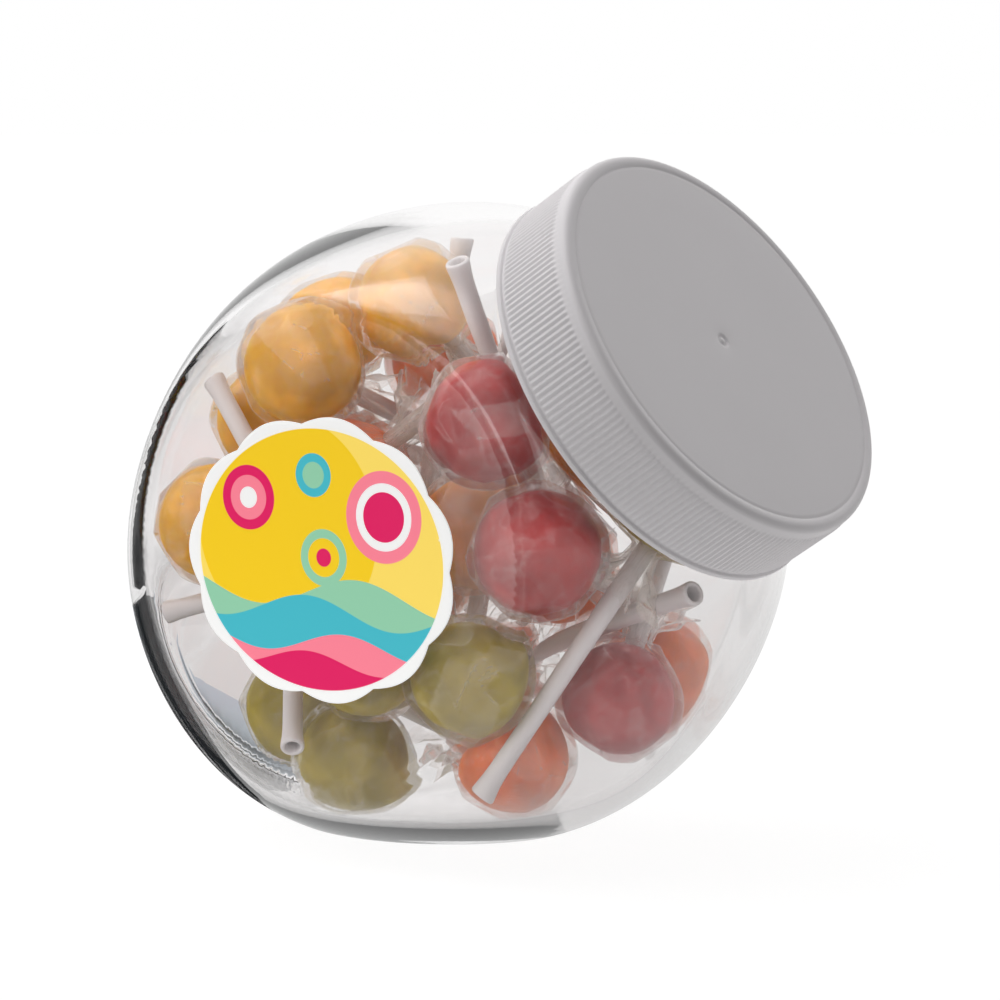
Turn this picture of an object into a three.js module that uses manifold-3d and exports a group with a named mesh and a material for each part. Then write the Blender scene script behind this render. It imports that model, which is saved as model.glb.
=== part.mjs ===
// A round, flat-sided glass sweet jar that stands tilted on a foot, with a ribbed white screw lid,
// a die-cut label on its front panel, and film-wrapped ball lollipops inside.
//
// Millimetres, +Z up. The origin is on the foot that the jar stands on, straight below the centre
// of its round body. The front panel faces -Y, and the mouth points up and towards +X.

import * as THREE from 'three';
import { mergeVertices } from 'three/addons/utils/BufferGeometryUtils.js';
import Module from 'manifold-3d';

const wasm = await Module();
wasm.setup();

const { cos, sin, hypot, atan2, min, max, abs, PI } = Math;
const degrees = THREE.MathUtils.degToRad;

// ---- driving dimensions -------------------------------------------------------------------

// The jar seen from the front is a rounded outline about its mouth axis. These are its radii
// from the body's centre, every 30 degrees from the mouth (hidden in the neck) to the base.
const OUTLINE_RADII = [69, 69, 66.2, 65.5, 64.2, 70.1, 73];
const MOUTH_TILT = 33.7; // degrees of the mouth axis above the horizontal
const FOOT_DROP = 62; // body centre to the flat foot under it
const BASE_DROP = 66; // body centre to the base, opposite the mouth
const HALF_DEPTH = 44; // body centre to the flat front and back panels
const PANEL_RADIUS = 46.3; // where a panel starts to round into the side
const CORNER_POWER = 1.59; // roundness of that corner: 2 is an ellipse, 1 a straight chamfer

const WALL = 3; // glass thickness of the body
const FOOT_WALL = 3.6;
const BASE_WALL = 5.6;
const NECK_RADIUS = 38.2;
const NECK_BORE = 35.2;
const NECK_FOOT = 45; // body centre to where the neck starts, inside the shoulder
const MOUTH_HEIGHT = 73.6; // body centre to the rim of the mouth

const LID_TOP = 75.8; // body centre to the lid's face
const LID_HEIGHT = 18.8;
const LID_RADIUS = 42.2;
const LID_SKIRT = 2.2; // thickness of the lid's skirt
const LID_PLATE = 1.6; // thickness of the lid's face
const LID_EDGE = 1.4; // rounding between face and skirt
const LID_BAND = 1.3; // plain band round the skirt's open end
const LID_BAND_PROUD = 0.6;
const RIB_COUNT = 72;
const RIB_DEPTH = 0.35;

const BALL_RADIUS = 12.2; // a wrapped sweet, before each one's own small difference
const BALL_SPREAD = 0.4;
const STICK_LENGTH = 70; // from the middle of the sweet to the stick's free end
const STICK_RADIUS = 2;
const STICK_FLARE = 2.4; // radius of the free end
const STICK_FLARE_LENGTH = 5;
const STICK_HOLE = 1.3;

const LABEL_WIDTH = 66;
const LABEL_HEIGHT = 57;
const LABEL_CENTRE = [-1, 61]; // x and z of its middle
const LABEL_THICKNESS = 0.4;
const LABEL_SCALLOPS = 11;
const LABEL_SCALLOP_DEPTH = 1.6;

const GAP = 0.4; // clearance between pieces that touch

// ---- mesh sizes ---------------------------------------------------------------------------

const BODY_STEPS_ROUND = 54;
const BODY_STEPS_CORNER = 5; // from the widest line to a panel's edge
const NECK_STEPS = 54;
const SWEET_STEPS = 12;
const STICK_STEPS = 8;

// ---- materials ----------------------------------------------------------------------------

const finish = (color, roughness, opacity = 1) =>
  new THREE.MeshStandardMaterial({ color, roughness, metalness: 0, opacity, transparent: opacity < 1 });

const GLASS = finish(0xe9ecec, 0.04, 0.2);
const LID_PLASTIC = finish(0xd9d8da, 0.45);
const LABEL_VINYL = finish(0xf2c61e, 0.4);
const STICK_PLASTIC = finish(0xd9d6d6, 0.5);
const FLAVOURS = {
  yellow: finish(0xd39a1f, 0.3),
  amber: finish(0xc07a22, 0.3),
  orange: finish(0xc9692a, 0.3),
  red: finish(0x9c3338, 0.3),
  green: finish(0x87802a, 0.3),
};

// ---- solids -------------------------------------------------------------------------------

function toManifold(geometry) {
  const bare = geometry.clone();
  bare.deleteAttribute('normal');
  bare.deleteAttribute('uv');
  const merged = mergeVertices(bare, 1e-4);
  return new wasm.Manifold(new wasm.Mesh({
    numProp: 3,
    vertProperties: new Float32Array(merged.attributes.position.array),
    triVerts: new Uint32Array(merged.index.array),
  }));
}

function toGeometry(manifold) {
  const { vertProperties, triVerts } = manifold.getMesh();
  const geometry = new THREE.BufferGeometry();
  geometry.setAttribute('position', new THREE.BufferAttribute(vertProperties, 3));
  geometry.setIndex(new THREE.BufferAttribute(triVerts, 1));
  geometry.computeVertexNormals();
  return geometry;
}

function namedMesh(name, geometry, material) {
  const mesh = new THREE.Mesh(geometry, material);
  mesh.name = name;
  return mesh;
}

// A solid of revolution about +Z from [radius, height] points.
function turned(profile, segments) {
  const points = profile.map(([radius, height]) => new THREE.Vector2(radius, height));
  return new THREE.LatheGeometry(points, segments).rotateX(PI / 2);
}

// ---- the jar's form, in its own frame: +Z is the mouth axis, and the panels face -Y and +Y ---

// Radius of the outline at an angle from the mouth axis: the smooth, mirror-symmetric cosine
// curve through OUTLINE_RADII.
function outlineRadius(angle) {
  const last = OUTLINE_RADII.length - 1;
  const endWeight = (i) => (i === 0 || i === last ? 0.5 : 1);
  let radius = 0;
  for (let wave = 0; wave <= last; wave++) {
    let amount = 0;
    OUTLINE_RADII.forEach((r, i) => { amount += endWeight(i) * r * cos((wave * i * PI) / last); });
    radius += endWeight(wave) * (2 / last) * amount * cos(wave * angle);
  }
  return radius;
}

// One point of the side's section, [radius, y]: turn 0 is the widest line, PI / 2 a panel's edge.
function sectionPoint(angle, turn, inset) {
  const edge = outlineRadius(angle) - inset;
  const out = cos(turn) ** (2 / CORNER_POWER);
  const across = sin(turn) ** (2 / CORNER_POWER);
  return [PANEL_RADIUS + (edge - PANEL_RADIUS) * out, (HALF_DEPTH - inset) * across];
}

// The whole rounded body, shrunk by an inset, before its flats are cut.
function roundBody(inset) {
  const rows = 2 * BODY_STEPS_CORNER + 1;
  const positions = [0, -(HALF_DEPTH - inset), 0];
  for (let row = 0; row < rows; row++) {
    const side = Math.sign(row - BODY_STEPS_CORNER);
    const turn = (abs(row - BODY_STEPS_CORNER) / BODY_STEPS_CORNER) * (PI / 2);
    for (let step = 0; step < BODY_STEPS_ROUND; step++) {
      const angle = (step / BODY_STEPS_ROUND) * 2 * PI;
      const [radius, y] = sectionPoint(angle, turn, inset);
      positions.push(radius * sin(angle), side * y, radius * cos(angle));
    }
  }
  positions.push(0, HALF_DEPTH - inset, 0);

  const vertex = (row, step) => 1 + row * BODY_STEPS_ROUND + (step % BODY_STEPS_ROUND);
  const backCentre = 1 + rows * BODY_STEPS_ROUND;
  const faces = [];
  for (let step = 0; step < BODY_STEPS_ROUND; step++) {
    faces.push(0, vertex(0, step + 1), vertex(0, step));
    for (let row = 0; row < rows - 1; row++) {
      const [a, b] = [vertex(row, step), vertex(row, step + 1)];
      const [c, d] = [vertex(row + 1, step + 1), vertex(row + 1, step)];
      faces.push(a, b, c, a, c, d);
    }
    faces.push(backCentre, vertex(rows - 1, step), vertex(rows - 1, step + 1));
  }
  const geometry = new THREE.BufferGeometry();
  geometry.setAttribute('position', new THREE.Float32BufferAttribute(positions, 3));
  geometry.setIndex(faces);
  return geometry;
}

// The flats: the foot it stands on, its mirror image, and the base, as [angle, distance, wall].
const FOOT_ANGLE = degrees(90 + MOUTH_TILT);
const FLATS = [
  { angle: FOOT_ANGLE, distance: FOOT_DROP, wall: FOOT_WALL },
  { angle: -FOOT_ANGLE, distance: FOOT_DROP, wall: FOOT_WALL },
  { angle: PI, distance: BASE_DROP, wall: BASE_WALL },
];

function flatCutter(angle, distance) {
  const size = 4 * HALF_DEPTH;
  const block = new THREE.BoxGeometry(size, size, size);
  block.translate(0, 0, distance + size / 2);
  return toManifold(block.rotateY(angle));
}

function jarGeometry() {
  let glass = toManifold(roundBody(0));
  let hollow = toManifold(roundBody(WALL));
  for (const { angle, distance, wall } of FLATS) {
    glass = glass.subtract(flatCutter(angle, distance));
    hollow = hollow.subtract(flatCutter(angle, distance - wall));
  }
  const neck = turned([[0, NECK_FOOT], [NECK_RADIUS, NECK_FOOT], [NECK_RADIUS, MOUTH_HEIGHT],
    [0, MOUTH_HEIGHT]], NECK_STEPS);
  const bore = turned([[0, NECK_FOOT], [NECK_BORE, NECK_FOOT], [NECK_BORE, MOUTH_HEIGHT + 1],
    [0, MOUTH_HEIGHT + 1]], NECK_STEPS);
  return toGeometry(glass.add(toManifold(neck)).subtract(hollow.add(toManifold(bore))));
}

// A screw cap with an open underside. Every second column of its ribbed skirt stands proud.
function lidGeometry() {
  const open = LID_TOP - LID_HEIGHT;
  const bore = LID_RADIUS - LID_SKIRT;
  const bandTop = open + LID_BAND;
  const ribTop = LID_TOP - 2 * LID_EDGE;
  const geometry = turned([
    [0, LID_TOP - LID_PLATE],
    [bore, LID_TOP - LID_PLATE],
    [bore, open],
    [LID_RADIUS + LID_BAND_PROUD, open],
    [LID_RADIUS + LID_BAND_PROUD, bandTop],
    [LID_RADIUS, bandTop],
    [LID_RADIUS, ribTop],
    [LID_RADIUS - 0.3 * LID_EDGE, LID_TOP - 0.3 * LID_EDGE],
    [LID_RADIUS - LID_EDGE, LID_TOP],
    [0, LID_TOP],
  ], 2 * RIB_COUNT);
  const position = geometry.attributes.position;
  for (let i = 0; i < position.count; i++) {
    const [x, y, z] = [position.getX(i), position.getY(i), position.getZ(i)];
    const column = Math.round(atan2(y, x) / (PI / RIB_COUNT));
    const onRibs = abs(hypot(x, y) - LID_RADIUS) < 1e-3 && (z === Math.fround(bandTop) || z === Math.fround(ribTop));
    if (onRibs && column % 2 !== 0) {
      const proud = (LID_RADIUS + RIB_DEPTH) / LID_RADIUS;
      position.setXY(i, x * proud, y * proud);
    }
  }
  return toGeometry(toManifold(geometry));
}

// A thin die-cut sticker with a scalloped edge, its back to the front panel.
function labelGeometry() {
  const outline = new THREE.Shape();
  const steps = 4 * LABEL_SCALLOPS;
  for (let step = 0; step < steps; step++) {
    const angle = (step / steps) * 2 * PI;
    const scallop = LABEL_SCALLOP_DEPTH * abs(sin((LABEL_SCALLOPS * angle) / 2));
    const x = (LABEL_WIDTH / 2 - LABEL_SCALLOP_DEPTH + scallop) * cos(angle);
    const z = (LABEL_HEIGHT / 2 - LABEL_SCALLOP_DEPTH + scallop) * sin(angle);
    if (step === 0) outline.moveTo(x, z);
    else outline.lineTo(x, z);
  }
  const sheet = new THREE.ExtrudeGeometry(outline, { depth: LABEL_THICKNESS, bevelEnabled: false });
  return sheet.rotateX(PI / 2);
}

// ---- the lollipops ------------------------------------------------------------------------

// Where each one is dropped in: its flavour, the middle of its sweet, and the place that its
// stick points at, in whole millimetres. A loosely wrapped one also says how much larger it is.
const DROPPED = [
  ['yellow', [-16, -27, 96], [-22, 35, 69], 0.8],
  ['yellow', [-32, -3, 102], [-36, 36, 46]],
  ['yellow', [-47, -4, 85], [10, 32, 60]],
  ['yellow', [-6, -9, 110], [22, 36, 68]],
  ['red', [26, -27, 90], [16, 36, 105], 0.6],
  ['amber', [13, -13, 61], [-49, -28, 49]],
  ['red', [43, -27, 57], [37, 36, 36], 1],
  ['red', [41, -4, 34], [40, 36, 87]],
  ['orange', [24, -8, 17], [-40, 10, 30]],
  ['orange', [40, 21, 36], [-22, 36, 70]],
  ['green', [18, -28, 36], [-16, 26, 72]],
  ['green', [-9, -21, 20], [-27, 22, 70]],
  ['green', [-36, -12, 24], [2, 32, 66]],
  ['yellow', [-40, -25, 62], [-2, 28, 78]],
  ['orange', [8, 8, 36], [66, -4, 50]],
  ['green', [52, 0, 69], [21, -32, 12]],
  ['orange', [-22, -12, 80], [34, 6, 118]],
  ['orange', [8, 10, 56], [14, -20, 118]],
  ['amber', [-13, 5, 51], [5, 0, 118]],
  ['orange', [-36, 18, 42], [22, 33, 14]],
  ['orange', [-44, 6, 64], [-13, -38, 23]],
  ['red', [18, 26, 82], [-46, 24, 63]],
  ['green', [-6, -28, 43], [-50, -19, 89]],
  ['orange', [-14, 24, 92], [40, 30, 60]],
  ['amber', [30, 10, 84], [-20, 30, 40]],
];

// A small repeatable random number from 0 to 1.
function makeRandom(seed) {
  let state = seed;
  return () => {
    state = (state * 16807) % 2147483647;
    return state / 2147483647;
  };
}

// The three stretches of a lollipop that push others away: the sweet, the gathered film, the stick.
const FILM_LENGTH = 9;
const FILM_RADIUS = 4.8;
const stretches = (radius) => [
  { from: 0, to: 0, radius },
  { from: radius, to: radius + FILM_LENGTH, radius: FILM_RADIUS },
  { from: radius + FILM_LENGTH, to: STICK_LENGTH, radius: STICK_FLARE },
];

// How far along each of two segments their closest points lie, both from 0 to 1.
function closestShares(p1, q1, p2, q2) {
  const d1 = q1.clone().sub(p1);
  const d2 = q2.clone().sub(p2);
  const r = p1.clone().sub(p2);
  const a = d1.dot(d1);
  const e = d2.dot(d2);
  const f = d2.dot(r);
  const clamp = (value) => min(max(value, 0), 1);
  if (a === 0 && e === 0) return [0, 0];
  if (a === 0) return [0, clamp(f / e)];
  const c = d1.dot(r);
  if (e === 0) return [clamp(-c / a), 0];
  const b = d1.dot(d2);
  const spread = a * e - b * b;
  let s = spread > 1e-9 ? clamp((b * f - c * e) / spread) : 0;
  let t = (b * s + f) / e;
  if (t < 0) s = clamp(-c / a);
  if (t > 1) s = clamp((b - c) / a);
  t = clamp(t);
  return [s, t];
}

const JAR_TURN = new THREE.Quaternion().setFromAxisAngle(new THREE.Vector3(0, 1, 0), degrees(90 - MOUTH_TILT));
const JAR_CENTRE = new THREE.Vector3(0, 0, FOOT_DROP);

// The shove that brings a ball of a radius back inside the glass, or null where it fits.
function wallShove(point, radius) {
  const local = point.clone().sub(JAR_CENTRE).applyQuaternion(JAR_TURN.clone().invert());
  const reach = radius + GAP;
  const inNeck = local.z > NECK_FOOT && hypot(local.x, local.y) < NECK_BORE - reach;
  if (inNeck && local.z < MOUTH_HEIGHT - reach) return null;
  let deepest = 0;
  const shove = new THREE.Vector3();
  const keepWorst = (depth, x, y, z) => {
    if (depth <= deepest) return;
    deepest = depth;
    shove.set(x, y, z).multiplyScalar(depth);
  };
  for (const { angle, distance, wall } of FLATS) {
    const height = local.x * sin(angle) + local.z * cos(angle);
    keepWorst(height + reach - (distance - wall), -sin(angle), 0, -cos(angle));
  }
  keepWorst(abs(local.y) + reach - (HALF_DEPTH - WALL), 0, -Math.sign(local.y), 0);
  const angle = atan2(local.x, local.z);
  const outward = hypot(local.x, local.z);
  const steps = 2 * BODY_STEPS_CORNER;
  for (let step = 0; step < steps; step++) {
    const [r0, y0] = sectionPoint(angle, (step / steps) * (PI / 2), WALL);
    const [r1, y1] = sectionPoint(angle, ((step + 1) / steps) * (PI / 2), WALL);
    const length = hypot(r0 - r1, y1 - y0);
    const [outR, outY] = [(y1 - y0) / length, (r0 - r1) / length];
    const depth = (outward - r0) * outR + (abs(local.y) - y0) * outY + reach;
    keepWorst(depth, -outR * sin(angle), -outY * Math.sign(local.y), -outR * cos(angle));
  }
  return deepest > 0 ? shove.applyQuaternion(JAR_TURN) : null;
}

// Lets the dropped lollipops push each other and the glass away until none of them touch.
const SETTLE_ROUNDS = 1500;
const HOLD_ROUNDS = 900; // rounds in which each is also drawn back to where it was dropped
const HOLD = 0.03;

function settled(lollipops) {
  const alongStick = (lolly, distance) =>
    lolly.sweet.clone().lerp(lolly.end, distance / STICK_LENGTH);
  const move = (lolly, distance, shift) => {
    const share = distance / STICK_LENGTH;
    const scale = 1 / ((1 - share) ** 2 + share ** 2);
    lolly.sweet.addScaledVector(shift, (1 - share) * scale);
    lolly.end.addScaledVector(shift, share * scale);
  };
  const keepLength = (lolly) => {
    const middle = lolly.sweet.clone().add(lolly.end).multiplyScalar(0.5);
    const half = lolly.end.clone().sub(lolly.sweet).setLength(STICK_LENGTH / 2);
    lolly.sweet.copy(middle).sub(half);
    lolly.end.copy(middle).add(half);
  };
  const separate = (one, other) => {
    for (const a of stretches(one.radius)) {
      for (const b of stretches(other.radius)) {
        const [s, t] = closestShares(alongStick(one, a.from), alongStick(one, a.to),
          alongStick(other, b.from), alongStick(other, b.to));
        const alongOne = a.from + s * (a.to - a.from);
        const alongOther = b.from + t * (b.to - b.from);
        const apart = alongStick(one, alongOne).sub(alongStick(other, alongOther));
        const overlap = a.radius + b.radius + GAP - apart.length();
        if (overlap <= 0) continue;
        apart.setLength(overlap / 2);
        move(one, alongOne, apart);
        move(other, alongOther, apart.negate());
      }
    }
  };
  for (let round = 0; round < SETTLE_ROUNDS; round++) {
    for (const lolly of lollipops) {
      if (round >= HOLD_ROUNDS) continue;
      lolly.sweet.lerp(lolly.dropped, HOLD);
      lolly.end.lerp(lolly.aimed, HOLD);
    }
    for (let i = 0; i < lollipops.length; i++) {
      for (let j = i + 1; j < lollipops.length; j++) separate(lollipops[i], lollipops[j]);
    }
    for (const lolly of lollipops) {
      for (const { from, to, radius } of stretches(lolly.radius)) {
        for (const distance of [from, to]) {
          const shove = wallShove(alongStick(lolly, distance), radius);
          if (shove) move(lolly, distance, shove);
        }
      }
      keepLength(lolly);
    }
  }
  return lollipops;
}

function droppedLollipops() {
  const random = makeRandom(2024);
  return DROPPED.map(([flavour, sweet, aim, looseness = 0], index) => {
    const dropped = new THREE.Vector3(...sweet);
    const along = new THREE.Vector3(...aim).sub(dropped).setLength(STICK_LENGTH);
    return {
      number: String(index + 1).padStart(2, '0'),
      flavour,
      radius: BALL_RADIUS + looseness + BALL_SPREAD * (2 * random() - 1),
      dropped,
      aimed: dropped.clone().add(along),
      sweet: dropped.clone(),
      end: dropped.clone().add(along),
    };
  });
}

// A ball of boiled sugar in its film: round, then gathered to a neck and flared round the stick,
// with a blind hole for the stick down to its middle. +Z points along the stick.
const GATHER_RADIUS = 3.5;
const FLARE_RADIUS = 4.8;
const HOLE_RADIUS = STICK_RADIUS + GAP + 0.2;

function sweetGeometry(radius) {
  const profile = [[0, -radius]];
  for (const turn of [30, 60, 90, 120, 146]) {
    profile.push([radius * sin(degrees(turn)), -radius * cos(degrees(turn))]);
  }
  profile.push(
    [GATHER_RADIUS, radius + 1.5],
    [FLARE_RADIUS, radius + FILM_LENGTH],
    [HOLE_RADIUS + 0.8, radius + FILM_LENGTH - 1],
    [HOLE_RADIUS, radius + 2],
    [HOLE_RADIUS, -GAP],
    [0, -GAP],
  );
  return turned(profile, SWEET_STEPS);
}

// A hollow stick with a slightly flared free end.
function stickGeometry() {
  return turned([
    [STICK_HOLE, 0],
    [STICK_RADIUS, 0],
    [STICK_RADIUS, STICK_LENGTH - STICK_FLARE_LENGTH],
    [STICK_FLARE, STICK_LENGTH],
    [STICK_HOLE, STICK_LENGTH],
    [STICK_HOLE, 0],
  ], STICK_STEPS);
}

function lollipopGroup({ number, flavour, radius, sweet, end }) {
  const group = new THREE.Group();
  group.add(namedMesh(`sweet_${number}_${flavour}`, sweetGeometry(radius), FLAVOURS[flavour]));
  group.add(namedMesh(`stick_${number}`, stickGeometry(), STICK_PLASTIC));
  group.position.copy(sweet);
  group.quaternion.setFromUnitVectors(new THREE.Vector3(0, 0, 1), end.clone().sub(sweet).normalize());
  return group;
}

// ---- assembly -----------------------------------------------------------------------------

const filledJar = new THREE.Group();

const tilted = new THREE.Group();
tilted.add(namedMesh('jar', jarGeometry(), GLASS));
tilted.add(namedMesh('lid', lidGeometry(), LID_PLASTIC));
tilted.quaternion.copy(JAR_TURN);
tilted.position.copy(JAR_CENTRE);
filledJar.add(tilted);

const label = namedMesh('label', labelGeometry(), LABEL_VINYL);
label.position.set(LABEL_CENTRE[0], -(HALF_DEPTH + GAP), LABEL_CENTRE[1]);
filledJar.add(label);

for (const lollipop of settled(droppedLollipops())) filledJar.add(lollipopGroup(lollipop));

export default filledJar;
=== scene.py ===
"""Dresses the tilted glass sweet jar: its glass, screw lid, sticker and film-wrapped lollipops."""

import math

import bpy
import numpy as np
from bpy.props import FloatProperty, FloatVectorProperty, IntProperty, PointerProperty
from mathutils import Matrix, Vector


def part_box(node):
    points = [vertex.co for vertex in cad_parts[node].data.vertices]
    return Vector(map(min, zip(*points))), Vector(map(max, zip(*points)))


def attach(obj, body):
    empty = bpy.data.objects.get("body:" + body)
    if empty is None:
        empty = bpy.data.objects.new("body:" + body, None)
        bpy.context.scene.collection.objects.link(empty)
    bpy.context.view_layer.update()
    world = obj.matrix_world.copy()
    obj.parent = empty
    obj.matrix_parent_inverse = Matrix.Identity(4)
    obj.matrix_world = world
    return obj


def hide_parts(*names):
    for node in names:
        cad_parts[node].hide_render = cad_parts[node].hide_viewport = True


bl_info = {
    "name": "Glass Jar of Lollipops",
    "version": (1, 0, 0),
    "blender": (4, 5, 0),
    "location": "View3D > Sidebar > Lollipop Jar",
    "description": "Makes the glass, lid, sticker and wrapped lollipops of a tilted sweet jar",
    "category": "Object",
}

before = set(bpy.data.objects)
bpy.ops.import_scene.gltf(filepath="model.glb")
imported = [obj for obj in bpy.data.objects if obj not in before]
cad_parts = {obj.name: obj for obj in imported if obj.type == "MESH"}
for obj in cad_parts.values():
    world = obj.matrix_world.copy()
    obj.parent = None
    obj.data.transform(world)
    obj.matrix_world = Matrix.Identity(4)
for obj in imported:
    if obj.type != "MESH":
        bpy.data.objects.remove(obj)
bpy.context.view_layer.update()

MM = 0.001
TAU = 2 * math.pi
BODY = "root"
FLAVOURS = ("yellow", "amber", "orange", "red", "green")

# The jar's form, in millimetres about the body's centre, as in the part's source.
OUTLINE_RADII = (69, 69, 66.2, 65.5, 64.2, 70.1, 73)  # every 30 degrees from the mouth axis
HALF_DEPTH = 44
INNER_HALF_DEPTH = 41
PANEL_RADIUS = 46.3
CORNER_POWER = 1.59
FOOT_DROP = 62
BASE_DROP = 66
FOOT_WALL = 3.6
BASE_WALL = 5.6
NECK_RADIUS = 38.2
NECK_BORE = 35.2
MOUTH_HEIGHT = 73.6
MOUTH_TILT = math.radians(33.7)
TILT_COS = math.cos(MOUTH_TILT)
TILT_SIN = math.sin(MOUTH_TILT)
FOOT_ANGLE = math.pi / 2 + MOUTH_TILT


def display(red, green, blue):
    """The linear colour of a 0 to 255 display colour."""
    def linear(level):
        share = level / 255
        return share / 12.92 if share <= 0.04045 else ((share + 0.055) / 1.055) ** 2.4
    return (linear(red), linear(green), linear(blue))


def opaque(colour):
    return (*colour, 1.0)


# ---- settings -----------------------------------------------------------------------------


def length(name, default, description):
    return FloatProperty(name=name, default=default, description=description,
                         min=0, precision=5, subtype='DISTANCE', unit='LENGTH')


def colour(name, default, description):
    return FloatVectorProperty(name=name, default=display(*default), description=description,
                               size=3, min=0, max=1, subtype='COLOR')


def share(name, default, description, highest=1):
    return FloatProperty(name=name, default=default, description=description,
                         min=0, max=highest, subtype='FACTOR')


class GlassSettings(bpy.types.PropertyGroup):
    wall: length("Wall", 3.0 * MM, "Glass thickness round the body")
    waviness: length("Waviness", 0.22 * MM, "How unevenly the inside is blown")
    knurl_height: length("Knurl height", 0.35 * MM, "Height of the grip bumps under the base")
    tint: colour("Tint", (254, 253, 253), "Colour of the glass in its thickness")


class LidSettings(bpy.types.PropertyGroup):
    ribs: IntProperty(name="Ribs", default=204, min=12, max=400,
                      description="Number of fine grip ribs round the skirt")
    rib_depth: length("Rib depth", 0.32 * MM, "How far each rib stands out")
    tone: colour("Plastic", (246, 242, 244), "Colour of the moulded lid")


class StickerSettings(bpy.types.PropertyGroup):
    ground: colour("Ground", (248, 205, 15), "Main colour of the print")
    wave: colour("Wave", (65, 185, 200), "Colour of the deeper wave")
    foam: colour("Foam", (145, 205, 170), "Colour of the paler wave")
    dots: colour("Dots", (225, 15, 95), "Colour of the large dots")
    discs: colour("Discs", (252, 130, 150), "Colour of the paler discs")


class LollipopSettings(bpy.types.PropertyGroup):
    film_gap: length("Film gap", 0.7 * MM, "How loosely the film lies on a sweet")
    film_haze: share("Film haze", 0.05, "How milky the flat areas of the film are")
    yellow: colour("Yellow", (228, 170, 2), "Lemon flavour")
    amber: colour("Amber", (206, 126, 6), "Honey flavour")
    orange: colour("Orange", (222, 108, 4), "Orange flavour")
    red: colour("Red", (174, 12, 15), "Cherry flavour")
    green: colour("Green", (164, 144, 4), "Apple flavour")
    stick: colour("Stick", (232, 226, 226), "Colour of the plastic stick")


class StudioSettings(bpy.types.PropertyGroup):
    backdrop: share("Backdrop", 1.0, "Brightness of the background", highest=4)
    ambient: share("Ambient", 0.68, "Brightness of the room round the jar", highest=4)
    azimuth: FloatProperty(name="Azimuth", default=math.radians(35.52), subtype='ANGLE',
                           description="Camera direction round the jar")
    elevation: FloatProperty(name="Elevation", default=math.radians(7.642), subtype='ANGLE',
                             description="Camera height above the horizontal")
    distance: length("Distance", 0.9292, "From the camera to the middle of the body")


class JarSettings(bpy.types.PropertyGroup):
    glass: PointerProperty(type=GlassSettings)
    lid: PointerProperty(type=LidSettings)
    sticker: PointerProperty(type=StickerSettings)
    lollipops: PointerProperty(type=LollipopSettings)
    studio: PointerProperty(type=StudioSettings)


# ---- shader writing -----------------------------------------------------------------------


class Value:
    """A shader socket that Python arithmetic can be written with."""

    def __init__(self, graph, socket):
        self.graph = graph
        self.socket = socket

    def math(self, operation, first, second=0.0):
        return self.graph.node("ShaderNodeMath", {"operation": operation}, {0: first, 1: second})

    def __add__(self, other):
        return self.math("ADD", self, other)

    def __sub__(self, other):
        return self.math("SUBTRACT", self, other)

    def __rsub__(self, other):
        return self.math("SUBTRACT", other, self)

    def __mul__(self, other):
        return self.math("MULTIPLY", self, other)

    def __truediv__(self, other):
        return self.math("DIVIDE", self, other)

    def __pow__(self, other):
        return self.math("POWER", self, other)

    __radd__ = __add__
    __rmul__ = __mul__


class Graph:
    """A node tree, written one node at a time."""

    def __init__(self, tree):
        self.tree = tree
        tree.nodes.clear()

    def node(self, kind, settings=None, sockets=None, output=0):
        made = self.tree.nodes.new(kind)
        for name, value in (settings or {}).items():
            if name == "stops":
                self.set_stops(made.color_ramp, value)
            else:
                setattr(made, name, value)
        for key, value in (sockets or {}).items():
            if isinstance(value, Value):
                self.tree.links.new(value.socket, made.inputs[key])
            else:
                made.inputs[key].default_value = value
        return Value(self, made.outputs[output])

    @staticmethod
    def set_stops(ramp, stops):
        while len(ramp.elements) < len(stops):
            ramp.elements.new(0.5)
        for element, (position, stop_colour) in zip(ramp.elements, stops):
            element.position = position
            element.color = opaque(stop_colour)

    def place(self):
        """Where the shaded point lies, in millimetres."""
        here = self.node("ShaderNodeTexCoord", output="Object")
        return self.node("ShaderNodeVectorMath", {"operation": "SCALE"}, {0: here, "Scale": 1 / MM})

    def attribute(self, name):
        return self.node("ShaderNodeAttribute", {"attribute_name": name}, output="Fac")

    def ray(self, kind):
        """1 for rays of one kind, and 0 for the others."""
        return self.node("ShaderNodeLightPath", output=kind)

    def along(self, where, axis):
        return self.node("ShaderNodeVectorMath", {"operation": "DOT_PRODUCT"},
                         {0: where, 1: tuple(axis)}, output="Value")

    def noise(self, where, size, detail=3.0, roughness=0.5):
        """Cloudy variation from 0 to 1 with lumps of a size in millimetres."""
        return self.node("ShaderNodeTexNoise", None,
                         {"Vector": where, "Scale": 1 / size, "Detail": detail, "Roughness": roughness})

    def between(self, value, low, high, start=0.0, end=1.0):
        """Goes smoothly from start to end while a value goes from low to high."""
        return self.node("ShaderNodeMapRange", {"interpolation_type": "SMOOTHSTEP"},
                         {0: value, 1: low, 2: high, 3: start, 4: end})

    def mix(self, factor, first, second):
        settings = {"data_type": "RGBA"}
        return self.node("ShaderNodeMix", settings, {0: factor, 6: first, 7: second}, output=2)

    def bump(self, height, distance, strength=1.0):
        return self.node("ShaderNodeBump", None,
                         {"Height": height, "Distance": distance, "Strength": strength})

    def blend(self, factor, first, second):
        return self.node("ShaderNodeMixShader", None, {0: factor, 1: first, 2: second})

    def end(self, shader, kind="ShaderNodeOutputMaterial"):
        self.tree.links.new(shader.socket, self.tree.nodes.new(kind).inputs["Surface"])


def new_material(name):
    material = bpy.data.materials.new(name)
    material.use_nodes = True
    return material, Graph(material.node_tree)


# ---- mesh writing -------------------------------------------------------------------------


def turns(columns):
    """The angles of a ring's columns."""
    return np.arange(columns) / columns * TAU


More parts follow.
